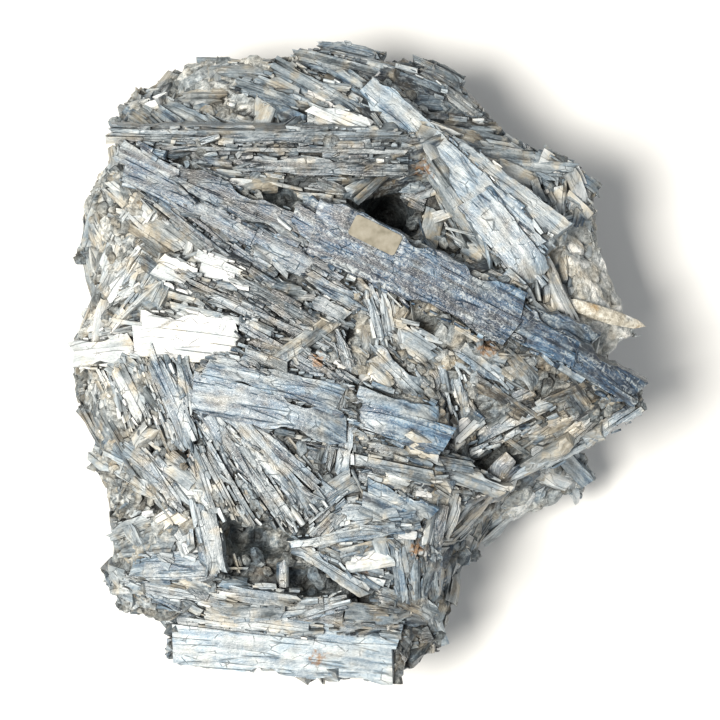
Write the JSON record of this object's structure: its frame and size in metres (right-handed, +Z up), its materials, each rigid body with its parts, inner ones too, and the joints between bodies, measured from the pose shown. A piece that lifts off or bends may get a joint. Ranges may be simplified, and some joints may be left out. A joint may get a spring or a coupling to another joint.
{
  "type": "kyanite blade cluster",
  "caption": "Loose mineral specimen of intergrown blue-grey kyanite blades in all directions, broken flat below, with a small blank paper label on its longest blade.",
  "frame": {"origin": "under the middle of the outline, on the flat break that the cluster rests on", "axes": "+Z up from the flat break, +Y along the longest extent towards the far rim, +X towards the pointed end of the longest blade"},
  "size_m": [0.2358, 0.2662, 0.1213],
  "materials": {
    "kyanite": "vitreous to pearly blades, blue to grey-white, streaked along their length, with grey and tan matrix and a few rust spots",
    "label_paper": "aged cream paper, matt, darker at its edges"
  },
  "bodies": {
    "root": {"kyanite_cluster": "kyanite", "paper_label": "label_paper"}
  },
  "joints": []
}
